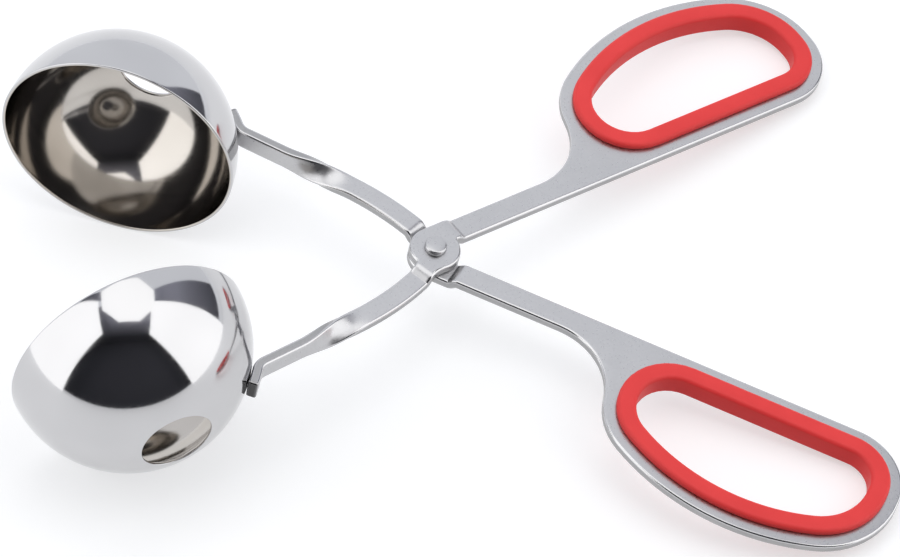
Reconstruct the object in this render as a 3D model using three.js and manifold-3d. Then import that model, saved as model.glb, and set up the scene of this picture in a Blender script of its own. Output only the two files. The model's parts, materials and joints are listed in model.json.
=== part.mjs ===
// Meatball tongs: two identical scissor arms of steel strip, joined by one rivet. Each arm has a finger
// loop with a soft grip pressed into it at one end and a half-ball bowl welded on at the other.
// Millimetres, +Z up. The tongs lie open on a table, on both bowls and the far ends of both grips.
import * as THREE from 'three';
import { mergeVertices } from 'three/addons/utils/BufferGeometryUtils.js';
import Module from 'manifold-3d';

const wasm = await Module();
wasm.setup();

const radians = THREE.MathUtils.degToRad;

// How far each arm is turned from closed
const OPEN_ANGLE = radians(21.3);

// Steel strip of the arms
const STRIP_THICKNESS = 2;
const SHANK_WIDTH = 5.1;
const BAR_WIDTH = 4.5;

// Pivot: the two bosses, the offset bends beside them and the rivet
const BOSS_RADIUS = 5.1;
const BOSS_GAP = 0.2;
const JOGGLE_LENGTH = 2.2;
const JOGGLE_CLEARANCE = 0.3;
const RIVET_RADIUS = 1.5;
const RIVET_CLEARANCE = 0.1;
const RIVET_HEAD_RADIUS = 2.2;
const RIVET_HEAD_HEIGHT = 1.2;
const RIVET_HEAD_ROUND = 0.5;

// Handle loop and its grip
const SHANK_ANGLE = radians(6.1);
const SHANK_LENGTH = 44.8;
const NECK_FILLET = 14;
const LOOP_MARGIN = 2.5;
const GRIP_LENGTH = 55.2;
const GRIP_WIDTH = 28.1;
const GRIP_FRONT_RADIUS = 11.5;
const GRIP_REAR_INNER_RADIUS = 9.7;
const GRIP_REAR_OUTER_RADIUS = 15.5;
const GRIP_REAR_FLAT = 0.9;
const GRIP_BAND = 3.6;
const GRIP_LIP = 1.3;
const GRIP_ROUND = 0.8;
const GROOVE_DEPTH = 1.6;
const GROOVE_CLEARANCE = 0.2;

// Front bar, from the pivot to its weld tab on the bowl
const BAR_OFFSET = 1.4;
const BAR_START_ANGLE = radians(32);
const BAR_END_ANGLE = radians(9.2);
const BAR_CURVE_RADIUS = 61;
const TWIST_LENGTH = 16;
const TWISTED_RUN = 8.5;
const TAB_BEND_RADIUS = 3;
const TAB_LENGTH = 3.9;
const WELD_GAP = 0.3;

// Half-ball bowl
const BOWL_RADIUS = 24;
const BOWL_WALL = 0.7;
const BOWL_REACH = 66;
const BOWL_HOLE_RADIUS = 7.15;
const RIM_GAP = 0.3;

// Facets
const BOSS_SIDES = 40;
const RIVET_SIDES = 24;
const BOWL_SIDES = 40;
const BOWL_STEPS = 11;
const CORNER_STEPS = 8;
const CROWN_STEPS = 10;
const ROUND_STEPS = 2;
const HEAD_STEPS = 4;
const BAR_STEP = 0.8;
const JOGGLE_STEPS = 6;

const quarterTurn = Math.PI / 2;
const halfThickness = STRIP_THICKNESS / 2;
const bossLevel = (STRIP_THICKNESS + BOSS_GAP) / 2;
const bossTop = BOSS_GAP / 2 + STRIP_THICKNESS;
const joggleStart = BOSS_RADIUS + JOGGLE_CLEARANCE;
const joggleEnd = joggleStart + JOGGLE_LENGTH;

// Joins rings of points, in order, into one closed skin: end to end, or round into a hoop
function loft(rings, hoop) {
  const size = rings[0].length;
  const index = [];
  const last = (rings.length - 1) * size;
  for (let near = 0; near < (hoop ? last + size : last); near += size) {
    const far = near === last ? 0 : near + size;
    for (let side = 0; side < size; side += 1) {
      const next = (side + 1) % size;
      index.push(near + side, near + next, far + next);
      index.push(near + side, far + next, far + side);
    }
  }
  for (let side = 1; side < size - 1 && !hoop; side += 1) {
    index.push(0, side + 1, side);
    index.push(last, last + side, last + side + 1);
  }
  return new THREE.BufferGeometry().setFromPoints(rings.flat()).setIndex(index);
}

function arc(centre, radius, from, to, steps) {
  return new THREE.EllipseCurve(centre.x, centre.y, radius, radius, from, to, to < from).getPoints(steps);
}

// Closed mesh to solid, for joins and cuts, and back
function solid(geometry) {
  const skin = geometry.clone();
  skin.deleteAttribute('normal');
  skin.deleteAttribute('uv');
  const merged = mergeVertices(skin);
  const triVerts = new Uint32Array(merged.index.array);
  const vertProperties = merged.attributes.position.array;
  return new wasm.Manifold(new wasm.Mesh({ numProp: 3, vertProperties, triVerts }));
}

function geometryOf(body) {
  const { vertProperties, triVerts } = body.getMesh();
  const geometry = new THREE.BufferGeometry();
  geometry.setAttribute('position', new THREE.BufferAttribute(vertProperties, 3));
  geometry.setIndex(new THREE.BufferAttribute(triVerts, 1));
  geometry.computeVertexNormals();
  return geometry;
}

function disc(radius, from, to, sides) {
  const cylinder = new THREE.CylinderGeometry(radius, radius, to - from, sides);
  return cylinder.rotateX(quarterTurn).translate(0, 0, (from + to) / 2);
}

// The grip's outline: a straight inner edge, two rear corners, a front corner, and a crown arc that peaks
// at the grip's width and runs smoothly into the outer corners. An offset moves all of it in or out.
// It lies along the shank, with x from the pivot and y outwards from the shank's inner edge.
// A corner stays a little smaller than the width that it rounds, so that some crown is left over it.
const CORNER_LIMIT = 0.93;
const cornerLimit = GRIP_WIDTH * CORNER_LIMIT / 2;
const frontRadius = Math.min(GRIP_FRONT_RADIUS, cornerLimit);
const rearInnerRadius = Math.min(GRIP_REAR_INNER_RADIUS, cornerLimit);
const rearOuterLevel = rearInnerRadius + GRIP_REAR_FLAT;
const rearOuterRadius = Math.min(GRIP_REAR_OUTER_RADIUS, (GRIP_WIDTH - rearOuterLevel) * CORNER_LIMIT);
const frontRise = GRIP_WIDTH - 2 * frontRadius;
const rearRise = GRIP_WIDTH - rearOuterLevel - rearOuterRadius;
const crownSpan = GRIP_LENGTH - frontRadius - rearOuterRadius;
const crownTerm = crownSpan ** 2 + rearRise * (rearOuterRadius - rearOuterLevel);
const crownRoot = Math.sqrt(frontRise * crownSpan ** 2 - (frontRise - rearRise) * crownTerm);
const crownReach = crownTerm / (crownSpan * Math.sqrt(frontRise) + crownRoot);
const crownRadius = (GRIP_WIDTH + crownReach ** 2) / 2;
const frontCorner = new THREE.Vector2(SHANK_LENGTH + frontRadius, LOOP_MARGIN + frontRadius);
const rearEnd = SHANK_LENGTH + GRIP_LENGTH;
const rearInnerCorner = new THREE.Vector2(rearEnd - rearInnerRadius, LOOP_MARGIN + rearInnerRadius);
const rearOuterCorner = new THREE.Vector2(rearEnd - rearOuterRadius, LOOP_MARGIN + rearOuterLevel);
const crownCentre = new THREE.Vector2(
  frontCorner.x + Math.sqrt(frontRise) * crownReach,
  LOOP_MARGIN + GRIP_WIDTH - crownRadius,
);
const rearCrownAngle = rearOuterCorner.clone().sub(crownCentre).angle();
const frontCrownAngle = frontCorner.clone().sub(crownCentre).angle();

function gripOutline(offset, frontAngle = 3 * quarterTurn) {
  return [
    ...arc(rearInnerCorner, rearInnerRadius + offset, -quarterTurn, 0, CORNER_STEPS),
    ...arc(rearOuterCorner, rearOuterRadius + offset, 0, rearCrownAngle, CORNER_STEPS),
    ...arc(crownCentre, crownRadius + offset, rearCrownAngle, frontCrownAngle, CROWN_STEPS).slice(1),
    ...arc(frontCorner, frontRadius + offset, frontCrownAngle, frontAngle, CORNER_STEPS).slice(1),
  ];
}

// Flat of the handle: the shank past its joggle, the neck fillet and the loop that holds the grip
function handlePlate() {
  const corner = frontRadius + LOOP_MARGIN;
  const filletRise = SHANK_WIDTH + NECK_FILLET - frontCorner.y;
  const filletReach = Math.sqrt((corner + NECK_FILLET) ** 2 - filletRise ** 2);
  const filletCentre = new THREE.Vector2(frontCorner.x - filletReach, SHANK_WIDTH + NECK_FILLET);
  const neckAngle = filletCentre.clone().sub(frontCorner).angle();
  const outline = new THREE.Shape([
    new THREE.Vector2(joggleEnd, 0),
    ...gripOutline(LOOP_MARGIN, neckAngle),
    ...arc(filletCentre, NECK_FILLET, neckAngle - Math.PI, -quarterTurn, CORNER_STEPS).slice(1),
    new THREE.Vector2(joggleEnd, SHANK_WIDTH),
  ]);
  outline.holes.push(new THREE.Path(gripOutline(GROOVE_CLEARANCE - GROOVE_DEPTH)));
  const plate = new THREE.ExtrudeGeometry(outline, { depth: STRIP_THICKNESS, bevelEnabled: false });
  return plate.translate(0, 0, -halfThickness).rotateZ(SHANK_ANGLE);
}

// One cross-section of the strip: heading is its direction of travel, twist turns it about that direction
function stripRing({ x, y, z, heading, twist }, width) {
  const travel = new THREE.Vector3(Math.cos(heading), Math.sin(heading), 0);
  const across = new THREE.Vector3(-travel.y, travel.x, 0).applyAxisAngle(travel, twist);
  const through = travel.clone().cross(across);
  return [[-1, -1], [1, -1], [1, 1], [-1, 1]].map(([side, face]) => new THREE.Vector3(x, y, z)
    .addScaledVector(across, side * width / 2)
    .addScaledVector(through, face * halfThickness));
}

// Height of the strip's middle where it drops from the boss to the plane that both handles share
function joggleHeight(distance) {
  return bossLevel * (1 - THREE.MathUtils.smoothstep(distance, joggleStart, joggleEnd));
}

// Shank from inside the boss down to the handle plate
function shankJoggle() {
  const places = [0];
  for (let step = 0; step <= JOGGLE_STEPS; step += 1) {
    places.push(joggleStart + JOGGLE_LENGTH * step / JOGGLE_STEPS);
  }
  places.push(joggleEnd + halfThickness);
  const rings = places.map((x) => {
    const station = { x, y: SHANK_WIDTH / 2, z: joggleHeight(x), heading: 0, twist: 0 };
    return stripRing(station, SHANK_WIDTH);
  });
  return loft(rings, false).rotateZ(SHANK_ANGLE);
}

// Moves along a heading by a length, straight on or turning left at the given curvature
function advance({ x, y, heading }, length, curvature) {
  const turned = heading + length * curvature;
  if (curvature === 0) {
    return { x: x + length * Math.cos(heading), y: y + length * Math.sin(heading), heading };
  }
  return {
    x: x + (Math.sin(turned) - Math.sin(heading)) / curvature,
    y: y + (Math.cos(heading) - Math.cos(turned)) / curvature,
    heading: turned,
  };
}

// Front bar: a long curve out of the boss, a straight run, and a tab that bends out and wraps on the bowl.
// The straight run ends where the tab's bend touches both the run and the bowl's outside.
const bowlCentre = new THREE.Vector2(-BOWL_REACH, -RIM_GAP / 2);
const tabRadius = BOWL_RADIUS + WELD_GAP + halfThickness;
const barStart = {
  x: BAR_OFFSET * Math.sin(BAR_START_ANGLE),
  y: -BAR_OFFSET * Math.cos(BAR_START_ANGLE),
  heading: Math.PI + BAR_START_ANGLE,
};
const curve = {
  length: BAR_CURVE_RADIUS * (BAR_START_ANGLE - BAR_END_ANGLE),
  curvature: -1 / BAR_CURVE_RADIUS,
};
const curveEnd = advance(barStart, curve.length, curve.curvature);
const ahead = new THREE.Vector2(Math.cos(curveEnd.heading), Math.sin(curveEnd.heading));
const toBowl = bowlCentre.clone().sub(curveEnd);
const bendRise = toBowl.cross(ahead) + TAB_BEND_RADIUS;
const bendReach = Math.sqrt((tabRadius + TAB_BEND_RADIUS) ** 2 - bendRise ** 2);
const straightLength = toBowl.dot(ahead) - bendReach;
const bendAngle = quarterTurn - Math.atan2(bendRise, bendReach);
const barRuns = [
  curve,
  { length: straightLength, curvature: 0 },
  { length: TAB_BEND_RADIUS * bendAngle, curvature: 1 / TAB_BEND_RADIUS },
  { length: TAB_LENGTH, curvature: -1 / tabRadius },
];
const twistEnd = curve.length + straightLength - TWISTED_RUN;

function frontBar() {
  const rings = [];
  let here = barStart;
  let distance = 0;
  for (const run of barRuns) {
    const steps = Math.ceil(run.length / BAR_STEP);
    for (let step = rings.length === 0 ? 0 : 1; step <= steps; step += 1) {
      const length = run.length * step / steps;
      const station = advance(here, length, run.curvature);
      const turned = THREE.MathUtils.smoothstep(distance + length, twistEnd - TWIST_LENGTH, twistEnd);
      const twist = -quarterTurn * turned;
      rings.push(stripRing({ ...station, z: joggleHeight(distance + length), twist }, BAR_WIDTH));
    }
    here = advance(here, run.length, run.curvature);
    distance += run.length;
  }
  return loft(rings, false);
}

// One arm, closed: handle on +Y, bowl end on -Y, boss raised so that it passes over the other arm's boss
function armGeometry() {
  const boss = disc(BOSS_RADIUS, BOSS_GAP / 2, bossTop, BOSS_SIDES);
  const bore = disc(RIVET_RADIUS + RIVET_CLEARANCE, -bossTop, 2 * bossTop, RIVET_SIDES);
  const strip = solid(handlePlate()).add(solid(shankJoggle())).add(solid(frontBar()));
  return geometryOf(strip.add(solid(boss)).subtract(solid(bore)));
}

// Half-ball shell with its rim on the joint plane and a round hole through the pole, which points to -Y
function bowlGeometry() {
  const centre = new THREE.Vector2();
  const inside = BOWL_RADIUS - BOWL_WALL;
  const outerEdge = -Math.acos(BOWL_HOLE_RADIUS / BOWL_RADIUS);
  const innerEdge = -Math.acos(BOWL_HOLE_RADIUS / inside);
  const outer = arc(centre, BOWL_RADIUS, outerEdge, 0, BOWL_STEPS);
  const inner = arc(centre, inside, 0, innerEdge, BOWL_STEPS);
  return new THREE.LatheGeometry([...outer, ...inner, outer[0]], BOWL_SIDES);
}

// Soft ring with rounded lips and a groove round its outside that holds the edge of the steel loop
const lipFoot = halfThickness + GROOVE_CLEARANCE;
const gripTop = lipFoot + GRIP_LIP;

function gripGeometry() {
  const roundLevel = gripTop - GRIP_ROUND;
  const outerRound = new THREE.Vector2(-GRIP_ROUND, roundLevel);
  const innerRound = new THREE.Vector2(GRIP_ROUND - GRIP_BAND, roundLevel);
  const upperHalf = [
    new THREE.Vector2(-GROOVE_DEPTH, lipFoot),
    new THREE.Vector2(0, lipFoot),
    ...arc(outerRound, GRIP_ROUND, 0, quarterTurn, ROUND_STEPS),
    ...arc(innerRound, GRIP_ROUND, quarterTurn, Math.PI, ROUND_STEPS),
  ];
  const lowerHalf = upperHalf.map(({ x, y }) => new THREE.Vector2(x, -y));
  const section = [...lowerHalf, ...upperHalf.reverse()];
  const outlines = section.map(({ x }) => gripOutline(x));
  const rings = outlines[0].map((_, place) => section.map(({ y }, corner) => {
    const point = outlines[corner][place];
    return new THREE.Vector3(point.x, point.y, y);
  }));
  return loft(rings, true).rotateZ(SHANK_ANGLE);
}

// Rivet with a low round-edged head on each side
function rivetGeometry() {
  const headFoot = bossTop + RIVET_CLEARANCE;
  const headTop = headFoot + RIVET_HEAD_HEIGHT;
  const headRound = new THREE.Vector2(RIVET_HEAD_RADIUS - RIVET_HEAD_ROUND, headTop - RIVET_HEAD_ROUND);
  const upperHalf = [
    new THREE.Vector2(RIVET_RADIUS, headFoot),
    new THREE.Vector2(RIVET_HEAD_RADIUS, headFoot),
    ...arc(headRound, RIVET_HEAD_ROUND, 0, quarterTurn, HEAD_STEPS),
    new THREE.Vector2(0, headTop),
  ];
  const lowerHalf = upperHalf.map(({ x, y }) => new THREE.Vector2(x, -y)).reverse();
  return new THREE.LatheGeometry([...lowerHalf, ...upperHalf], RIVET_SIDES).rotateX(quarterTurn);
}

function piece(name, geometry, color, roughness, metalness) {
  const mesh = new THREE.Mesh(geometry, new THREE.MeshStandardMaterial({ color, roughness, metalness }));
  mesh.name = name;
  return mesh;
}

const SATIN_STEEL = [0xbebec2, 0.32, 1];
const POLISHED_STEEL = [0xd2d2d6, 0.06, 1];
const RED_RUBBER = [0xe04444, 0.55, 0];

// The same arm twice: the left one is turned over about the long axis, and both are opened on the rivet
const tongs = new THREE.Group();
const arm = armGeometry();
const bowl = bowlGeometry();
const grip = gripGeometry();
for (const [side, turnOver, open] of [['right', 0, OPEN_ANGLE], ['left', Math.PI, -OPEN_ANGLE]]) {
  const laid = new THREE.Group();
  laid.rotation.x = turnOver;
  laid.add(piece(`${side}_arm`, arm, ...SATIN_STEEL));
  const halfBall = piece(`${side}_bowl`, bowl, ...POLISHED_STEEL);
  halfBall.position.set(bowlCentre.x, bowlCentre.y, 0);
  laid.add(halfBall);
  laid.add(piece(`${side}_grip`, grip, ...RED_RUBBER));
  const opened = new THREE.Group().add(laid);
  opened.rotation.z = open;
  tongs.add(opened);
}
tongs.add(piece('pivot_rivet', rivetGeometry(), ...SATIN_STEEL));

// Lying on a table, the tongs tip until the bowls and the far ends of the grips' undersides touch it
const pivot = new THREE.Vector2();
const gripTurn = SHANK_ANGLE + OPEN_ANGLE;
const underside = gripOutline(-GRIP_ROUND).map((point) => point.rotateAround(pivot, gripTurn).x);
const span = Math.max(...underside) - bowlCentre.clone().rotateAround(pivot, OPEN_ANGLE).x;
tongs.rotation.y = Math.asin(BOWL_RADIUS / Math.hypot(span, gripTop)) - Math.atan2(gripTop, span);

// The origin is the middle of the footprint, on the table
const box = new THREE.Box3().setFromObject(tongs, true);
const middle = box.getCenter(new THREE.Vector3());
tongs.position.set(-middle.x, -middle.y, -box.min.z);

export default tongs;
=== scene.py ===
# Meatball tongs lying open on a pale table: two scissor arms of steel strip on one rivet, each with a
# polished half-ball bowl welded to its front end and a soft red grip in its finger loop.
import json
from math import acos, asin, atan2, ceil, cos, hypot, pi, radians, sin, sqrt

import bmesh
import bpy
from mathutils import Matrix, Quaternion, Vector


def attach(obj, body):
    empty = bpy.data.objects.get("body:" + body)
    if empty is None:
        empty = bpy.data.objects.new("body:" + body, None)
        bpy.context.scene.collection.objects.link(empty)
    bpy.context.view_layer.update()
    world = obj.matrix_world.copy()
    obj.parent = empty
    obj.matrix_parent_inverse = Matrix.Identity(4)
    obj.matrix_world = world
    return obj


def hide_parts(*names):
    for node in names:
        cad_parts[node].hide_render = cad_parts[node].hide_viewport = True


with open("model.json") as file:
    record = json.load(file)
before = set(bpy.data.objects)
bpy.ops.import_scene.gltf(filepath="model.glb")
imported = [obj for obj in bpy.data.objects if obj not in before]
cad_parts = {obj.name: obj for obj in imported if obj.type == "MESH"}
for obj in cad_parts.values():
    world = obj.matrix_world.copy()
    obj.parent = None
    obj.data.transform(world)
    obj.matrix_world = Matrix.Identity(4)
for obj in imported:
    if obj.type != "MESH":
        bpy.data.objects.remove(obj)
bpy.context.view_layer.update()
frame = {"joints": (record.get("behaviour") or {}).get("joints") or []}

# Lie of the two arms
# The left arm is the right one turned over. The hinge's upper limit closes the bowls, and each arm
# has turned half of that from closed. Both lie on the table with the rivet leaning a little.
mm = 0.001
hinge = frame["joints"][0]
open_angle = radians(hinge["range_deg"][1]) / 2
lean = atan2(hinge["axis"][0], hinge["axis"][2])
lying = Matrix.Translation(hinge["pos_m"]) @ Matrix.Rotation(lean, 4, "Y")
place = {
    "right": lying @ Matrix.Rotation(open_angle, 4, "Z"),
    "left": lying @ Matrix.Rotation(-open_angle, 4, "Z") @ Matrix.Rotation(pi, 4, "X"),
}

# Arms
# Each arm is one stainless strip, blanked with its finger loop and its round boss. A joggle on each side
# sets the boss off, and the bar is twisted by a quarter turn and bent at its tip. The edges are tumbled.
STRIP_THICKNESS = 2 * mm
STRIP_EDGE_ROUND = 0.42 * mm
STRIP_EDGE_SEGMENTS = 3
STRIP_EDGE_LIMIT = radians(50)
SHANK_WIDTH = 5.1 * mm
SHANK_LANES = 10
SHANK_ANGLE = radians(6.1)
BAR_WIDTH = 4.5 * mm
BAR_LANES = 6
BOSS_RADIUS = 5.1 * mm
BOSS_HOLE_RADIUS = 1.6 * mm
BOSS_LEVEL = 1.1 * mm
BOSS_STEPS = 16
JOGGLE_START = 5.4 * mm
JOGGLE_LENGTH = 2.2 * mm
JOGGLE_SLANT = 0.6 * mm
JOGGLE_STEPS = 10
GRIP_START = 44.8 * mm
GRIP_LENGTH = 55.2 * mm
GRIP_WIDTH = 28.1 * mm
FRONT_RADIUS = 11.5 * mm
REAR_INNER_RADIUS = 9.7 * mm
REAR_OUTER_RADIUS = 15.5 * mm
REAR_FLAT = 0.9 * mm
LOOP_MARGIN = 2.5 * mm
LOOP_SEAT = -1.45 * mm
NECK_FILLET = 14 * mm
NECK_STEPS = 12
NECK_BAND = 0.8 * mm
BAR_OFFSET = 1.4 * mm
BAR_START_ANGLE = radians(32)
BAR_END_ANGLE = radians(9.2)
BAR_CURVE_RADIUS = 61 * mm
BAR_STEP = 0.7 * mm
ROOT_FILLET = 5 * mm
ROOT_STEPS = 6
CORNER_EASE = 0.12 * mm
TWIST_LENGTH = 16 * mm
TWISTED_RUN = 8.5 * mm
TAB_BEND_RADIUS = 3 * mm
TAB_LENGTH = 3.9 * mm
WELD_GAP = 0.05 * mm
BOWL_RADIUS = 24 * mm
BOWL_REACH = 66 * mm
BOWL_RIM_GAP = 0.3 * mm
MERGE_DISTANCE = 0.01 * mm
ANGLE_SLACK = 0.001

up = Vector((0, 0, 1))
bowl_centre = Vector((-BOWL_REACH, -BOWL_RIM_GAP / 2, 0))
handle = Matrix.Rotation(SHANK_ANGLE, 4, "Z")
joggle_end = JOGGLE_START + JOGGLE_LENGTH
joggle_rows = [JOGGLE_START + JOGGLE_LENGTH * step / JOGGLE_STEPS for step in range(JOGGLE_STEPS + 1)]
shank_lanes = [SHANK_WIDTH * lane / SHANK_LANES for lane in range(SHANK_LANES + 1)]
bar_lanes = [BAR_WIDTH * (lane / BAR_LANES - 0.5) for lane in range(BAR_LANES + 1)]


def ease(value, start, end):
    """Goes smoothly from 0 at start to 1 at end"""
    share = min(max((value - start) / (end - start), 0), 1)
    return share * share * (3 - 2 * share)


def strip_level(distance):
    """Height of the strip's middle at a distance along it: two equal bends bring it down from the boss"""
    share = min(max((distance - JOGGLE_START) / JOGGLE_LENGTH, 0), 1)
    drop = 2 * share ** 2 if share < 0.5 else 1 - 2 * (1 - share) ** 2
    return BOSS_LEVEL * (1 - drop)


def travel(heading):
    """Unit vector along a heading"""
    return Vector((cos(heading), sin(heading), 0))


def angle_of(point):
    """Angle of a point round the rivet, from 0 to a full turn"""
    return atan2(point.y, point.x) % (2 * pi)


def pull_row(bm, row, points):
    """Draws a row of vertices out by one more row of faces, to the given points"""
    edges = [bm.edges.get(pair) for pair in zip(row, row[1:])]
    drawn = bmesh.ops.extrude_edge_only(bm, edges=edges)["geom"]
    fresh = [item for item in drawn if isinstance(item, bmesh.types.BMVert)]
    new_row = [min(fresh, key=lambda vert: (vert.co - old.co).length_squared) for old in row]
    for vert, point in zip(new_row, points):
        vert.co = point
    return new_row


# The grip's outline in the handle: a straight inner edge, two rear corners with a short flat between them,
# a crown and a front corner. The crown runs smoothly into the corner on each side, which sets its radius:
# crown_share squared is the crown's diameter less the grip's width.
rear_end = GRIP_START + GRIP_LENGTH
front_rise = GRIP_WIDTH - 2 * FRONT_RADIUS
rear_level = REAR_INNER_RADIUS + REAR_FLAT
rear_rise = GRIP_WIDTH - rear_level - REAR_OUTER_RADIUS
crown_span = GRIP_LENGTH - FRONT_RADIUS - REAR_OUTER_RADIUS
crown_term = crown_span ** 2 + rear_rise * (REAR_OUTER_RADIUS - rear_level)
crown_root = sqrt(front_rise * crown_span ** 2 - (front_rise - rear_rise) * crown_term)
crown_share = crown_term / (crown_span * sqrt(front_rise) + crown_root)
crown_radius = (GRIP_WIDTH + crown_share ** 2) / 2
rear_inner = Vector((rear_end - REAR_INNER_RADIUS, LOOP_MARGIN + REAR_INNER_RADIUS, 0))
rear_outer = Vector((rear_end - REAR_OUTER_RADIUS, LOOP_MARGIN + rear_level, 0))
front = Vector((GRIP_START + FRONT_RADIUS, LOOP_MARGIN + FRONT_RADIUS, 0))
crown = Vector((front.x + sqrt(front_rise) * crown_share, LOOP_MARGIN + GRIP_WIDTH - crown_radius, 0))
rear_crown_angle = atan2(rear_outer.y - crown.y, rear_outer.x - crown.x)
front_crown_angle = atan2(front.y - crown.y, front.x - crown.x)

# The neck's fillet touches the shank's outer edge and the loop's front corner
neck_rise = SHANK_WIDTH + NECK_FILLET - front.y
neck_reach = sqrt((FRONT_RADIUS + LOOP_MARGIN + NECK_FILLET) ** 2 - neck_rise ** 2)
neck = Vector((front.x - neck_reach, SHANK_WIDTH + NECK_FILLET, 0))
neck_angle = atan2(neck_rise, -neck_reach)

# The turns of the outline from the rear end of its straight edge: centre, angle and number of steps
outline_start = rear_inner - Vector((0, REAR_INNER_RADIUS, 0))
grip_turns = [
    (rear_inner, pi / 2, 16),
    (rear_outer, rear_crown_angle, 12),
    (crown, front_crown_angle - rear_crown_angle, 20),
    (front, neck_angle - front_crown_angle, 8),
    (front, 3 * pi / 2 - neck_angle, SHANK_LANES),
]


def carry_round(bm, swept, turns):
    """Carries a section on round the finger loop, with the short flat after the first turn"""
    for turn, (centre, angle, steps) in enumerate(turns):
        swept = bmesh.ops.spin(bm, geom=swept, cent=handle @ centre, axis=up, angle=angle,
                               steps=steps)["geom_last"]
        if turn == 0:
            edges = [item for item in swept if isinstance(item, bmesh.types.BMEdge)]
            drawn = bmesh.ops.extrude_edge_only(bm, edges=edges)["geom"]
            swept = [item for item in drawn if not isinstance(item, bmesh.types.BMFace)]
            moved = [item for item in swept if isinstance(item, bmesh.types.BMVert)]
            bmesh.ops.translate(bm, verts=moved, vec=handle.to_3x3() @ Vector((0, REAR_FLAT, 0)))
    return [item for item in swept if isinstance(item, bmesh.types.BMEdge)]


def corner_point(across, offset):
    """Point beside the loop's front corner, from its inner edge to where the neck's fillet touches it"""
    angle = 3 * pi / 2 + (neck_angle - 3 * pi / 2) * across
    return front + travel(angle) * (FRONT_RADIUS + offset)


def neck_row(share):
    """Row of points across the neck, which fans out from the shank to the loop's front corner"""
    inner = Vector((neck.x + (front.x - neck.x) * share, 0, 0))
    outer = neck + travel(-pi / 2 + (neck_angle - pi / 2) * share) * NECK_FILLET
    tangent = neck + travel(neck_angle - pi) * NECK_FILLET
    corner = Vector((front.x, 0, 0))
    points = []
    for lane in range(SHANK_LANES + 1):
        across = lane / SHANK_LANES
        band = LOOP_MARGIN if lane in (0, SHANK_LANES) else NECK_BAND
        bulge = corner_point(across, band) - corner.lerp(tangent, across)
        points.append(handle @ (inner.lerp(outer, across) + bulge * share ** 2))
    return points


def advance(start, heading, length, bend):
    """Point and heading after a length along a path that turns left at the given bend"""
    if bend == 0:
        return start + travel(heading) * length, heading
    turned = heading + length * bend
    along = Vector((sin(turned) - sin(heading), cos(heading) - cos(turned), 0))
    return start + along / bend, turned


# The bar's route from the pivot: a long curve, a straight run, a bend out and a wrap on the bowl
tab_radius = BOWL_RADIUS + WELD_GAP + STRIP_THICKNESS / 2
curve_length = BAR_CURVE_RADIUS * (BAR_START_ANGLE - BAR_END_ANGLE)
bar_heading = pi + BAR_START_ANGLE
bar_start = Vector((-sin(bar_heading), cos(bar_heading), 0)) * BAR_OFFSET
curve_end, run_heading = advance(bar_start, bar_heading, curve_length, -1 / BAR_CURVE_RADIUS)
to_bowl = bowl_centre - curve_end
bend_rise = to_bowl.cross(travel(run_heading)).z + TAB_BEND_RADIUS
bend_reach = sqrt((tab_radius + TAB_BEND_RADIUS) ** 2 - bend_rise ** 2)
run_length = to_bowl.dot(travel(run_heading)) - bend_reach
bend_length = TAB_BEND_RADIUS * (pi / 2 - atan2(bend_rise, bend_reach))
bar_runs = [
    (curve_length, -1 / BAR_CURVE_RADIUS),
    (run_length, 0),
    (bend_length, 1 / TAB_BEND_RADIUS),
    (TAB_LENGTH, -1 / tab_radius),
]
bar_length = sum(length for length, bend in bar_runs)
twist_end = curve_length + run_length - TWISTED_RUN


def bar_point(distance, side):
    """Point of the bar's middle sheet at a distance along its route and a signed distance to its left"""
    here, heading, left_over = bar_start, bar_heading, distance
    for length, bend in bar_runs:
        step = min(length, left_over)
        here, heading = advance(here, heading, step, bend)
        left_over -= step
    twist = -pi / 2 * ease(distance, twist_end - TWIST_LENGTH, twist_end)
    across = up.cross(travel(heading)) * cos(twist) + up * sin(twist)
    return here + across * side


# A fillet on the boss's level brings the bar's left edge out of the boss
fillet_side = BAR_WIDTH / 2 + ROOT_FILLET
fillet_along = sqrt((BOSS_RADIUS + ROOT_FILLET) ** 2 - (BAR_OFFSET + fillet_side) ** 2)
fillet_turn = atan2(fillet_along, BAR_OFFSET + fillet_side)


def root_edge(share):
    """Point of the bar's left edge on that fillet, from the boss at 0 to the straight edge at 1"""
    angle = fillet_turn * (1 - share)
    return bar_point(fillet_along - ROOT_FILLET * sin(angle), fillet_side - ROOT_FILLET * cos(angle))


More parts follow.
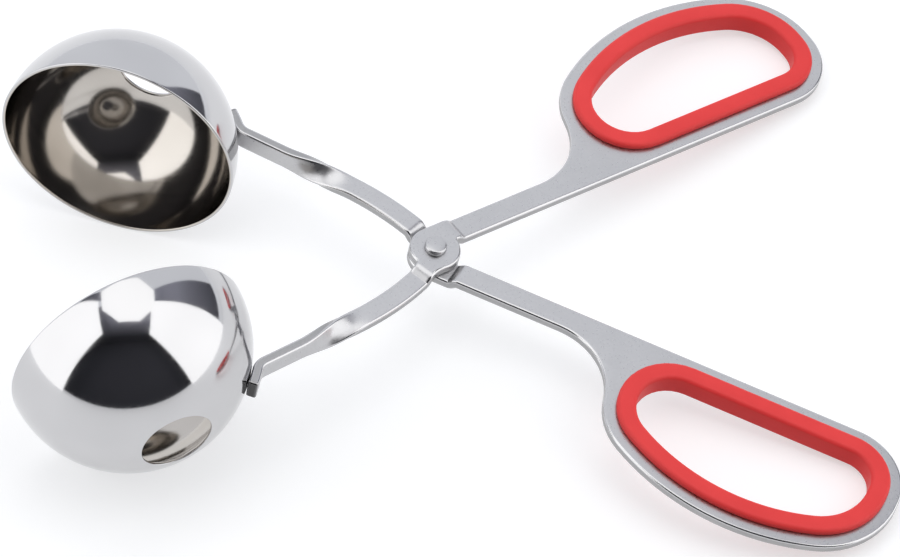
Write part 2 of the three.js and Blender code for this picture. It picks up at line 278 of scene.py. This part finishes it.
def boss_ring(bm):
    """The boss round the rivet's hole; returns its outer vertices at the roots of the shank and the bar"""
    right_root = sqrt(BOSS_RADIUS ** 2 - (BAR_OFFSET - BAR_WIDTH / 2) ** 2)
    bar_right = angle_of(bar_point(right_root, -BAR_WIDTH / 2))
    bar_left = angle_of(root_edge(0))
    eased = CORNER_EASE / BOSS_RADIUS
    # Each stop is an angle with a vertex, and the number of steps from there to the next
    stops = [(SHANK_ANGLE + asin(min(lane / BOSS_RADIUS, 1)), 1) for lane in shank_lanes[:-1]]
    stops += [
        (SHANK_ANGLE + pi / 2, BOSS_STEPS),
        (bar_right - eased, 1),
        (bar_right, BAR_LANES),
        (bar_left, BOSS_STEPS),
        (SHANK_ANGLE + 2 * pi - eased, 1),
        (SHANK_ANGLE + 2 * pi, 0),
    ]
    edge = bm.edges.new([bm.verts.new(travel(SHANK_ANGLE) * radius + up * BOSS_LEVEL)
                         for radius in (BOSS_HOLE_RADIUS, BOSS_RADIUS)])
    swept = [edge, *edge.verts]
    for (start, steps), (end, _) in zip(stops, stops[1:]):
        swept = bmesh.ops.spin(bm, geom=swept, axis=up, angle=end - start, steps=steps)["geom_last"]
    bmesh.ops.remove_doubles(bm, verts=bm.verts, dist=MERGE_DISTANCE)
    outer = [vert for vert in bm.verts if vert.co.xy.length > (BOSS_HOLE_RADIUS + BOSS_RADIUS) / 2]
    outer.sort(key=lambda vert: (angle_of(vert.co) - SHANK_ANGLE + ANGLE_SLACK) % (2 * pi))
    shank_root = outer[:SHANK_LANES + 1]
    bar_first = SHANK_LANES + BOSS_STEPS + 1
    bar_root = outer[bar_first:bar_first + BAR_LANES + 1]
    for corner in (shank_root[0], bar_root[0]):
        corner.co.xy *= 1 + eased
    return shank_root, bar_root


def shank_and_loop(bm, row):
    """The shank with its joggle, the neck that fans out and the finger loop, drawn from the shank's root"""
    for distance in joggle_rows:
        level = strip_level(distance)
        along = [distance - JOGGLE_SLANT * lane / SHANK_WIDTH for lane in shank_lanes]
        row = pull_row(bm, row, [handle @ Vector((x, y, level)) for x, y in zip(along, shank_lanes)])
    for step in range(NECK_STEPS + 1):
        row = pull_row(bm, row, neck_row(step / NECK_STEPS))
    seat = pull_row(bm, row, [handle @ corner_point(lane / SHANK_LANES, LOOP_SEAT)
                              for lane in range(SHANK_LANES + 1)])
    cross = [bm.verts.new(handle @ (outline_start - Vector((0, offset, 0))))
             for offset in (LOOP_MARGIN, LOOP_SEAT)]
    carry_round(bm, [bm.edges.new(cross), *cross], grip_turns[:-1])
    pull_row(bm, [row[0], seat[0]], [vert.co.copy() for vert in cross])


def bar_and_tab(bm, root):
    """The bar with its joggle, twist and tab, drawn from the bar's root, and marked where it was welded"""
    weld = bm.verts.layers.float["weld"]
    rows = [root]
    for distance in joggle_rows:
        level = up * strip_level(distance)
        rows.append(pull_row(bm, rows[-1], [bar_point(distance, lane) + level for lane in bar_lanes]))
    row = rows[-1]
    steps = ceil((bar_length - joggle_end) / BAR_STEP)
    for step in range(1, steps + 1):
        distance = joggle_end + (bar_length - joggle_end) * step / steps
        row = pull_row(bm, row, [bar_point(distance, lane) for lane in bar_lanes])
    for vert in row:
        vert[weld] = 1
    edge = bm.edges.get((rows[0][-1], rows[1][-1]))
    cuts = bmesh.ops.subdivide_edges(bm, edges=[edge], cuts=ROOT_STEPS - 1)["geom_inner"]
    curve = [item for item in cuts if isinstance(item, bmesh.types.BMVert)]
    curve.sort(key=lambda vert: vert.co.length)
    for step, vert in enumerate(curve, 1):
        vert.co = root_edge(step / ROOT_STEPS) + up * BOSS_LEVEL


def arm_sheet():
    """The strip's middle sheet, with no thickness yet"""
    bm = bmesh.new()
    bm.verts.layers.float.new("weld")
    shank_root, bar_root = boss_ring(bm)
    shank_and_loop(bm, shank_root)
    bar_and_tab(bm, bar_root)
    bmesh.ops.remove_doubles(bm, verts=bm.verts, dist=MERGE_DISTANCE)
    bmesh.ops.recalc_face_normals(bm, faces=bm.faces)
    return bm


# Faces are satin, and rounded edges burnished. Sheared edges are duller, with the die's marks across them,
# and their darker tint is painted shade, standing for the shaded table that the side walls reflect.
# Each finish has a dark and a light tint, and a roughness from smoothest to dullest.
SATIN_TINTS = ((0.5, 0.499, 0.51, 1), (0.58, 0.578, 0.586, 1))
SATIN_ROUGHNESS = (0.27, 0.34)
SHEARED_AND_SHADED_TINTS = ((0.34, 0.338, 0.342, 1), (0.44, 0.438, 0.442, 1))
SHEARED_ROUGHNESS = (0.32, 0.44)
SHEARED_STRETCH = 0.12
BURNISHED_TINTS = ((0.54, 0.538, 0.545, 1), (0.6, 0.598, 0.605, 1))
BURNISHED_ROUGHNESS = (0.14, 0.2)
STEEL_CLOUDS = {"Scale": 160, "Detail": 3}
STEEL_GRAIN = {"Scale": 1900, "Detail": 2}
STEEL_TONE_SPAN = (0.2, 0.8)
STEEL_RELIEF = {"Strength": 0.3, "Distance": 0.05 * mm}
WELD_DARKENING = 0.8
PATTERN_SPAN = (0.3, 0.7)


def feed(node, inputs):
    """Sets each input of a shader node to a value, or links it to a socket"""
    for name, value in inputs.items():
        if isinstance(value, bpy.types.NodeSocket):
            node.id_data.links.new(value, node.inputs[name])
        else:
            node.inputs[name].default_value = value


def add_node(tree, kind, inputs, **settings):
    """A new shader node with its settings and inputs"""
    made = tree.nodes.new(kind)
    for name, value in settings.items():
        setattr(made, name, value)
    feed(made, inputs)
    return made


def calculate(tree, operation, *values):
    """Result of an operation on values or sockets"""
    return add_node(tree, "ShaderNodeMath", dict(enumerate(values)), operation=operation).outputs["Value"]


def object_coordinates(tree):
    return add_node(tree, "ShaderNodeTexCoord", {}).outputs["Object"]


def painted(tree, name):
    """Value of one of the mesh's own attributes"""
    return add_node(tree, "ShaderNodeAttribute", {}, attribute_name=name).outputs["Fac"]


def pattern(tree, coordinates, grade):
    """Cloudy pattern through the piece, which lies about PATTERN_SPAN"""
    return add_node(tree, "ShaderNodeTexNoise", {"Vector": coordinates, **grade}).outputs["Fac"]


def tone(tree, share, tints, span):
    """Colour that goes from the dark to the light tint while a share goes through a span"""
    ramp = add_node(tree, "ShaderNodeValToRGB", {"Fac": share})
    for element, position, tint in zip(ramp.color_ramp.elements, span, tints):
        element.position = position
        element.color = tint
    return ramp.outputs["Color"]


def gloss(tree, share, roughness):
    """Roughness that goes from smoothest to dullest with a pattern"""
    lowest, highest = PATTERN_SPAN
    smoothest, dullest = roughness
    return add_node(tree, "ShaderNodeMapRange", {
        "Value": share, "From Min": lowest, "From Max": highest, "To Min": smoothest, "To Max": dullest,
    }).outputs["Result"]


def relief(tree, inputs):
    """Fine unevenness of the surface"""
    return add_node(tree, "ShaderNodeBump", inputs).outputs["Normal"]


def new_material(name):
    """A node material and its surface shader"""
    material = bpy.data.materials.new(name)
    material.use_nodes = True
    return material, material.node_tree.nodes["Principled BSDF"]


def steel_finish(name, tints, roughness, grain_stretch=1):
    """Stainless strip with a fine grain, cloudy in its tone and gloss, and darkened where it was welded"""
    material, shader = new_material(name)
    tree = material.node_tree
    coordinates = object_coordinates(tree)
    clouds = pattern(tree, coordinates, STEEL_CLOUDS)
    across = add_node(tree, "ShaderNodeMapping", {"Vector": coordinates, "Scale": (1, 1, grain_stretch)})
    grain = pattern(tree, across.outputs["Vector"], STEEL_GRAIN)
    mean = calculate(tree, "MULTIPLY", calculate(tree, "ADD", clouds, grain), 0.5)
    clean = calculate(tree, "MULTIPLY_ADD", painted(tree, "weld"), -WELD_DARKENING, 1)
    tinted = add_node(tree, "ShaderNodeVectorMath", {
        0: tone(tree, mean, tints, STEEL_TONE_SPAN), "Scale": clean,
    }, operation="SCALE")
    feed(shader, {
        "Metallic": 1,
        "Base Color": tinted.outputs["Vector"],
        "Roughness": gloss(tree, grain, roughness),
        "Normal": relief(tree, {"Height": clouds, **STEEL_RELIEF}),
    })
    return material


def mesh_of(bm, name, matrix):
    """The finished bmesh as a mesh, moved to its place"""
    mesh = bpy.data.meshes.new(name)
    bm.to_mesh(mesh)
    bm.free()
    mesh.transform(matrix)
    return mesh


def new_piece(name, mesh, material, body, node):
    """A finished piece in its place, moving with its body instead of the plain solid"""
    piece = bpy.data.objects.new(name, mesh)
    bpy.context.scene.collection.objects.link(piece)
    mesh.materials.append(material)
    mesh.shade_smooth()
    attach(piece, body)
    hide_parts(node)
    return piece


strip_steel = steel_finish("satin_steel", SATIN_TINTS, SATIN_ROUGHNESS)
# The sheared finish's darker tint is painted shade on the strip's side walls and sheared edges
sheared_and_shaded_steel = steel_finish("sheared_and_shaded_steel", SHEARED_AND_SHADED_TINTS, SHEARED_ROUGHNESS, SHEARED_STRETCH)
burnished_steel = steel_finish("burnished_steel", BURNISHED_TINTS, BURNISHED_ROUGHNESS)
for side in place:
    name = f"{side}_arm_strip"
    arm = new_piece(name, mesh_of(arm_sheet(), name, place[side]), strip_steel, side, f"{side}_arm")
    finishes = arm.data.materials
    finishes.append(sheared_and_shaded_steel)
    finishes.append(burnished_steel)
    sheet = arm.modifiers.new("sheet_thickness", "SOLIDIFY")
    sheet.thickness = STRIP_THICKNESS
    sheet.offset = 0
    sheet.use_even_offset = True
    sheet.material_offset_rim = finishes.find(sheared_and_shaded_steel.name)
    tumbled = arm.modifiers.new("tumbled_edges", "BEVEL")
    tumbled.width = STRIP_EDGE_ROUND
    tumbled.segments = STRIP_EDGE_SEGMENTS
    tumbled.limit_method = "ANGLE"
    tumbled.angle_limit = STRIP_EDGE_LIMIT
    tumbled.use_clamp_overlap = False
    tumbled.material = finishes.find(burnished_steel.name)
    faces_flat = arm.modifiers.new("flat_faces", "WEIGHTED_NORMAL")
    faces_flat.keep_sharp = False

# Bowls
# Each bowl is a half ball drawn from thin stainless sheet, trimmed at the rim, punched at the pole and
# polished to a mirror while turning. It is spot welded to the bent tab of its arm.
BOWL_WALL = 0.7 * mm
BOWL_HOLE_RADIUS = 7.15 * mm
BOWL_EDGE_ROUND = 0.22 * mm
BOWL_EDGE_SEGMENTS = 3
BOWL_PROFILE_STEPS = 30
BOWL_STEPS = 112
OUTSIDE_TINTS = ((0.535, 0.532, 0.54, 1), (0.575, 0.572, 0.58, 1))
HOLLOW_TINTS = ((0.48, 0.45, 0.415, 1), (0.54, 0.51, 0.475, 1))
MIRROR_ROUGHNESS = (0.07, 0.1)
HOLLOW_DULLING = 0.025
BOWL_WAVES = {"Scale": 70, "Detail": 1}
BOWL_WAVE_RELIEF = {"Strength": 0.1, "Distance": 0.1 * mm}
POLISHING_RINGS = {"Scale": 2400, "Detail": 3}
POLISHING_RELIEF = {"Strength": 0.04, "Distance": 0.004 * mm}


def bowl_shell():
    """The half ball, with its rim on the arm's middle plane and its pole to the arm's outside"""
    bm = bmesh.new()
    inside = BOWL_RADIUS - BOWL_WALL
    rim = bm.verts.new((BOWL_RADIUS, 0, 0))
    inner_rim = bm.verts.new((inside, 0, 0))
    bm.edges.new((rim, inner_rim))
    ends = []
    for start, radius in ((rim, BOWL_RADIUS), (inner_rim, inside)):
        last = bmesh.ops.spin(bm, geom=[start], axis=up, angle=-acos(BOWL_HOLE_RADIUS / radius),
                              steps=BOWL_PROFILE_STEPS)["geom_last"]
        ends.extend(item for item in last if isinstance(item, bmesh.types.BMVert))
    bm.edges.new(ends)
    bmesh.ops.bevel(bm, geom=[rim, inner_rim, *ends], affect="VERTICES", offset=BOWL_EDGE_ROUND,
                    segments=BOWL_EDGE_SEGMENTS, profile=0.5, material=-1)
    turning = bm.verts.layers.float.new("turning")
    hollow = bm.verts.layers.float.new("hollow")
    profile = [*bm.verts, *bm.edges]
    bmesh.ops.spin(bm, geom=profile, axis=(0, 1, 0), angle=2 * pi, steps=BOWL_STEPS, use_merge=True)
    bmesh.ops.recalc_face_normals(bm, faces=bm.faces)
    for vert in bm.verts:
        vert[turning] = hypot(vert.co.x, vert.co.z)
        vert[hollow] = 1 if vert.co.length < BOWL_RADIUS - BOWL_WALL / 2 else 0
    bmesh.ops.translate(bm, verts=bm.verts, vec=bowl_centre)
    return bm


def polished_steel():
    """Drawn steel, mirror-bright outside with faint polishing rings, and duller and warmer in the hollow"""
    material, shader = new_material("polished_steel")
    tree = material.node_tree
    hollow = painted(tree, "hollow")
    waves = pattern(tree, object_coordinates(tree), BOWL_WAVES)
    rings = add_node(tree, "ShaderNodeTexNoise", {"W": painted(tree, "turning"), **POLISHING_RINGS},
                     noise_dimensions="1D").outputs["Fac"]
    # Inputs 6 and 7 of a colour mix are its two colours, and output 2 is the result
    mixed = add_node(tree, "ShaderNodeMix", {
        "Factor": hollow,
        6: tone(tree, waves, OUTSIDE_TINTS, PATTERN_SPAN),
        7: tone(tree, waves, HOLLOW_TINTS, PATTERN_SPAN),
    }, data_type="RGBA")
    wavy = relief(tree, {"Height": waves, **BOWL_WAVE_RELIEF})
    feed(shader, {
        "Metallic": 1,
        "Base Color": mixed.outputs[2],
        "Roughness": calculate(tree, "MULTIPLY_ADD", hollow, HOLLOW_DULLING,
                               gloss(tree, rings, MIRROR_ROUGHNESS)),
        "Normal": relief(tree, {"Height": rings, "Normal": wavy, **POLISHING_RELIEF}),
    })
    return material


mirror_steel = polished_steel()
for side in place:
    name = f"{side}_bowl_shell"
    bowl = new_piece(name, mesh_of(bowl_shell(), name, place[side]), mirror_steel, side, f"{side}_bowl")
    drawn = bowl.modifiers.new("drawn_smooth", "SUBSURF")
    drawn.levels = 1
    drawn.render_levels = 1

# Grips
# Each grip is a soft ring moulded in red rubber, with rounded lips and a groove round its outside. It is
# stretched into the finger loop until the groove takes the edge of the steel.
GRIP_BAND = 3.9 * mm
GRIP_HALF_DEPTH = 2.5 * mm
GRIP_EDGE_ROUND = 0.85 * mm
GRIP_EDGE_SEGMENTS = 6
LIP_FOOT_ROUND = 0.35 * mm
GROOVE_DEPTH = 1.6 * mm
GROOVE_CLEARANCE = 0.03 * mm
RUBBER_TINTS = ((0.76, 0.044, 0.044, 1), (0.82, 0.052, 0.052, 1))
RUBBER_ROUGHNESS = (0.42, 0.56)
RUBBER_SHEEN = 0.3
RUBBER_DYE = {"Scale": 90, "Detail": 3}
RUBBER_SKIN = {"Scale": 3800, "Detail": 3}
RUBBER_RELIEF = {"Strength": 0.2, "Distance": 0.03 * mm}


def grip_ring():
    """The ring's section, carried along the loop's outline"""
    bm = bmesh.new()
    groove_level = STRIP_THICKNESS / 2 + GROOVE_CLEARANCE
    groove = [(-GROOVE_DEPTH, -groove_level), (-GROOVE_DEPTH, groove_level), (0, groove_level)]
    lips = [(0, GRIP_HALF_DEPTH), (-GRIP_BAND, GRIP_HALF_DEPTH), (-GRIP_BAND, -GRIP_HALF_DEPTH),
            (0, -GRIP_HALF_DEPTH)]
    foot = [(0, -groove_level)]
    section = [bm.verts.new(handle @ (outline_start + Vector((0, -offset, height))))
               for offset, height in groove + lips + foot]
    for pair in zip(section, section[1:] + section[:1]):
        bm.edges.new(pair)
    lip_corners = section[len(groove):-len(foot)]
    lip_feet = [section[len(groove) - 1], section[-1]]
    for corners, round_off in ((lip_corners, GRIP_EDGE_ROUND), (lip_feet, LIP_FOOT_ROUND)):
        bmesh.ops.bevel(bm, geom=corners, affect="VERTICES", offset=round_off, segments=GRIP_EDGE_SEGMENTS,
                        profile=0.5, material=-1)
    first = list(bm.verts)
    last = carry_round(bm, [*bm.verts, *bm.edges], grip_turns)
    begin = [edge for edge in bm.edges if all(vert in first for vert in edge.verts)]
    bmesh.ops.bridge_loops(bm, edges=begin + last)
    bmesh.ops.recalc_face_normals(bm, faces=bm.faces)
    return bm


def red_rubber():
    """Matte moulded rubber, with a fine skin grain and a slightly uneven dye"""
    material, shader = new_material("red_rubber")
    tree = material.node_tree
    coordinates = object_coordinates(tree)
    dye = pattern(tree, coordinates, RUBBER_DYE)
    skin = pattern(tree, coordinates, RUBBER_SKIN)
    feed(shader, {
        "Specular IOR Level": RUBBER_SHEEN,
        "Base Color": tone(tree, dye, RUBBER_TINTS, PATTERN_SPAN),
        "Roughness": gloss(tree, skin, RUBBER_ROUGHNESS),
        "Normal": relief(tree, {"Height": skin, **RUBBER_RELIEF}),
    })
    return material


grip_rubber = red_rubber()
for side in place:
    name = f"{side}_grip_ring"
    new_piece(name, mesh_of(grip_ring(), name, place[side]), grip_rubber, side, f"{side}_grip")

# Rivet
# One steel rivet holds both bosses. Its head is low, with a slightly domed top and a rounded edge, and
# its other end was peened to the same shape.
RIVET_RADIUS = 1.5 * mm
RIVET_HEAD_RADIUS = 2.2 * mm
RIVET_HEAD_FOOT = 2.15 * mm
RIVET_HEAD_HEIGHT = 1.15 * mm
RIVET_DOME = 0.12 * mm
RIVET_EDGE_ROUND = 0.45 * mm
RIVET_EDGE_SEGMENTS = 5
RIVET_STEPS = 64


def rivet_body():
    """Half of the rivet's outline, mirrored and turned"""
    bm = bmesh.new()
    top = RIVET_HEAD_FOOT + RIVET_HEAD_HEIGHT
    outline = [(0, top), (RIVET_HEAD_RADIUS / 2, top - RIVET_DOME / 3),
               (RIVET_HEAD_RADIUS, top - RIVET_DOME), (RIVET_HEAD_RADIUS, RIVET_HEAD_FOOT),
               (RIVET_RADIUS, RIVET_HEAD_FOOT)]
    mirrored = [(x, -z) for x, z in reversed(outline)]
    chain = [bm.verts.new((x, 0, z)) for x, z in outline + mirrored]
    for pair in zip(chain, chain[1:]):
        bm.edges.new(pair)
    head_edges = [chain[2], chain[-3]]
    bmesh.ops.bevel(bm, geom=head_edges, affect="VERTICES", offset=RIVET_EDGE_ROUND,
                    segments=RIVET_EDGE_SEGMENTS, profile=0.5, material=-1)
    bmesh.ops.spin(bm, geom=[*bm.verts, *bm.edges], axis=up, angle=2 * pi, steps=RIVET_STEPS, use_merge=True)
    bmesh.ops.remove_doubles(bm, verts=bm.verts, dist=MERGE_DISTANCE)
    bmesh.ops.recalc_face_normals(bm, faces=bm.faces)
    return bm


new_piece("pivot_rivet_head", mesh_of(rivet_body(), "pivot_rivet_head", lying), strip_steel, "right",
          "pivot_rivet")

# Table and studio
# A pale table top, a softbox on each side and an eight-sided one overhead, and dark cards at the front,
# above and at both rear corners, which give polished steel its dark reflections. The room is white.
TABLE_SIZE = 8
TABLE_TINT = (0.6, 0.607, 0.62, 1)
TABLE_ROUGHNESS = 0.8
TABLE_SHEEN = 0.1
TABLE_LIFT = 0.5
WHITE = (1, 1, 1, 1)
BLACK = (0, 0, 0, 1)
BLACK_CLOTH_SHADE = 0.045
GREY_CLOTH_SHADES = (0.12, 0.37)
GREY_CLOTH_FADE = (0.05, 0.55)
ROOF_CLOTH_SHADES = (0.045, 0.28)
ROOF_PAINTED_GLOW_FADE = (-0.5, -0.2)
CLOTH_BLUENESS = 1.15
SOFTBOX_GLOW = 1.7
HOUSING_GAP = 0.004
TOP_BOX_SIDES = 8
TOP_BOX_RADIUS = 0.385
TOP_BOX_CENTRE = (0, 0.142, 0.9)
ROOM_TINT = (0.93, 0.95, 1, 1)
ROOM_GLOW = 1


def pale_table():
    """A white laminate that looks as white as paper to the camera and in steel, and keeps its shadows"""
    material, shader = new_material("pale_table")
    tree = material.node_tree
    rays = add_node(tree, "ShaderNodeLightPath", {}).outputs
    seen = rays["Is Camera Ray"]
    for kind in ("Is Glossy Ray", "Is Transmission Ray"):
        seen = calculate(tree, "MAXIMUM", seen, rays[kind])
    feed(shader, {
        "Base Color": TABLE_TINT,
        "Roughness": TABLE_ROUGHNESS,
        "Specular IOR Level": TABLE_SHEEN,
        "Emission Color": WHITE,
        "Emission Strength": calculate(tree, "MULTIPLY", seen, TABLE_LIFT),
    })
    return material


def cloth_tint(shade):
    """Grey of a cloth, slightly blue"""
    return shade, shade, shade * CLOTH_BLUENESS, 1


def dark_cloth(name, shade):
    """A matte cloth"""
    material, shader = new_material(name)
    feed(shader, {"Base Color": cloth_tint(shade), "Roughness": 1, "Specular IOR Level": 0})
    return material


def fading_cloth(name, shades, axis, span):
    """A matte cloth that gets lighter along an axis, from the start to the end of a span"""
    material, shader = new_material(name)
    tree = material.node_tree
    start, end = span
    along = add_node(tree, "ShaderNodeSeparateXYZ", {"Vector": object_coordinates(tree)})
    share = add_node(tree, "ShaderNodeMapRange", {
        "Value": along.outputs[axis], "From Min": start, "From Max": end,
    })
    tints = [cloth_tint(shade) for shade in shades]
    feed(shader, {
        "Base Color": tone(tree, share.outputs["Result"], tints, (0, 1)),
        "Roughness": 1,
        "Specular IOR Level": 0,
    })
    return material


def lamp_cloth():
    """The glowing front of a softbox"""
    material, shader = new_material("lamp_cloth")
    feed(shader, {
        "Base Color": BLACK,
        "Specular IOR Level": 0,
        "Emission Color": WHITE,
        "Emission Strength": SOFTBOX_GLOW,
    })
    return material


def stage_piece(name, bm, matrix, material, seen=False):
    """A flat piece of the studio, which isn't part of the tongs. Most show in reflections only."""
    card = bpy.data.objects.new(name, mesh_of(bm, name, matrix))
    card.data.materials.append(material)
    bpy.context.scene.collection.objects.link(card)
    card.visible_camera = seen


def flat_card(width, height):
    """A rectangle on the XY plane"""
    bm = bmesh.new()
    bmesh.ops.create_grid(bm, x_segments=1, y_segments=1, size=0.5)
    bmesh.ops.scale(bm, vec=(width, height, 1), verts=bm.verts)
    return bm


def facing(centre, target):
    """Placement at a centre, with Z towards a target and Y upright"""
    turn = (Vector(target) - Vector(centre)).to_track_quat("Z", "Y")
    return Matrix.Translation(centre) @ turn.to_matrix().to_4x4()


stage_piece("table_top", flat_card(TABLE_SIZE, TABLE_SIZE), Matrix.Identity(4), pale_table(), seen=True)

# Each card and softbox has its width and height, its centre and the point that it faces
black_cloth = dark_cloth("black_cloth", BLACK_CLOTH_SHADE)
grey_cloth = fading_cloth("grey_cloth", GREY_CLOTH_SHADES, "Z", GREY_CLOTH_FADE)
# The roof cloth is painted lighter towards the overhead softbox, a painted glow of its light; the left rear
# card, beside that softbox, lies wholly in its light end
roof_cloth_with_painted_glow = fading_cloth("roof_cloth_with_painted_glow", ROOF_CLOTH_SHADES, "Y", ROOF_PAINTED_GLOW_FADE)
dark_cards = {
    "front_card": (2.3, 1.9, (-0.25, -0.62, 0.96), (-0.25, 0, 0.96), black_cloth),
    "roof_card": (1.9, 0.72, (-0.15, -0.3, 1.02), (-0.15, -0.3, 0), roof_cloth_with_painted_glow),
    "left_rear_card": (0.16, 0.5, (-0.46, 0.26, 0.95), (0, 0.1, 0.1), roof_cloth_with_painted_glow),
    "rear_card": (0.305, 1.11, (0.5, 0.2725, 0.605), (-0.2, 0.2725, 0.605), grey_cloth),
}
for name, (width, height, centre, target, cloth) in dark_cards.items():
    stage_piece(name, flat_card(width, height), facing(centre, target), cloth)

eight_sides = bmesh.new()
bmesh.ops.create_circle(eight_sides, cap_ends=True, segments=TOP_BOX_SIDES, radius=TOP_BOX_RADIUS)
overhead = Matrix.Translation(TOP_BOX_CENTRE) @ Matrix.Rotation(pi / TOP_BOX_SIDES, 4, "Z")
stage_piece("top_softbox", eight_sides, overhead, lamp_cloth())

softboxes = {
    "left_softbox": (0.5, 0.9, (-0.48, -0.105, 0.44), (0.1, -0.105, 0.338)),
    "right_softbox": (0.58, 1.02, (0.43, -0.178, 0.505), (-0.2, -0.178, 0.405)),
}
for name, (width, height, centre, target) in softboxes.items():
    lamp = bpy.data.lights.new(name, "AREA")
    lamp.shape = "RECTANGLE"
    lamp.size = width
    lamp.size_y = height
    lamp.energy = SOFTBOX_GLOW * pi * width * height
    softbox = bpy.data.objects.new(name, lamp)
    softbox.matrix_world = facing(centre, target) @ Matrix.Rotation(pi, 4, "Y")
    softbox.visible_camera = False
    bpy.context.scene.collection.objects.link(softbox)
    behind = facing(centre, target) @ Matrix.Translation((0, 0, -HOUSING_GAP))
    stage_piece(f"{name}_housing", flat_card(width, height), behind, black_cloth)

room = bpy.data.worlds.new("white_room")
room.use_nodes = True
feed(room.node_tree.nodes["Background"], {"Color": ROOM_TINT, "Strength": ROOM_GLOW})
bpy.context.scene.world = room
bpy.context.scene.view_settings.view_transform = "Standard"

# Camera
# A long lens looks down from above the front side of the tongs, turned so that the handles run to the
# right. Its aim, distance and angles were fitted to the outlines of the bowls, arms and loops.
CAMERA_AIM = Vector((1.29, -5.95, 14.47)) * mm
CAMERA_AZIMUTH = radians(-5.99)
CAMERA_ELEVATION = radians(53.51)
CAMERA_ROLL = radians(0.9)
CAMERA_DISTANCE = 800.6 * mm
CAMERA_LENS = 163.4
CAMERA_SENSOR = 36

back = Vector((sin(CAMERA_AZIMUTH) * cos(CAMERA_ELEVATION), -cos(CAMERA_AZIMUTH) * cos(CAMERA_ELEVATION),
               sin(CAMERA_ELEVATION)))
lens = bpy.data.cameras.new("photo_camera")
lens.lens = CAMERA_LENS
lens.sensor_width = CAMERA_SENSOR
camera = bpy.data.objects.new("photo_camera", lens)
camera.rotation_mode = "QUATERNION"
camera.location = CAMERA_AIM + back * CAMERA_DISTANCE
camera.rotation_quaternion = (-back).to_track_quat("-Z", "Y") @ Quaternion(up, CAMERA_ROLL)
bpy.context.scene.collection.objects.link(camera)
bpy.context.scene.camera = camera
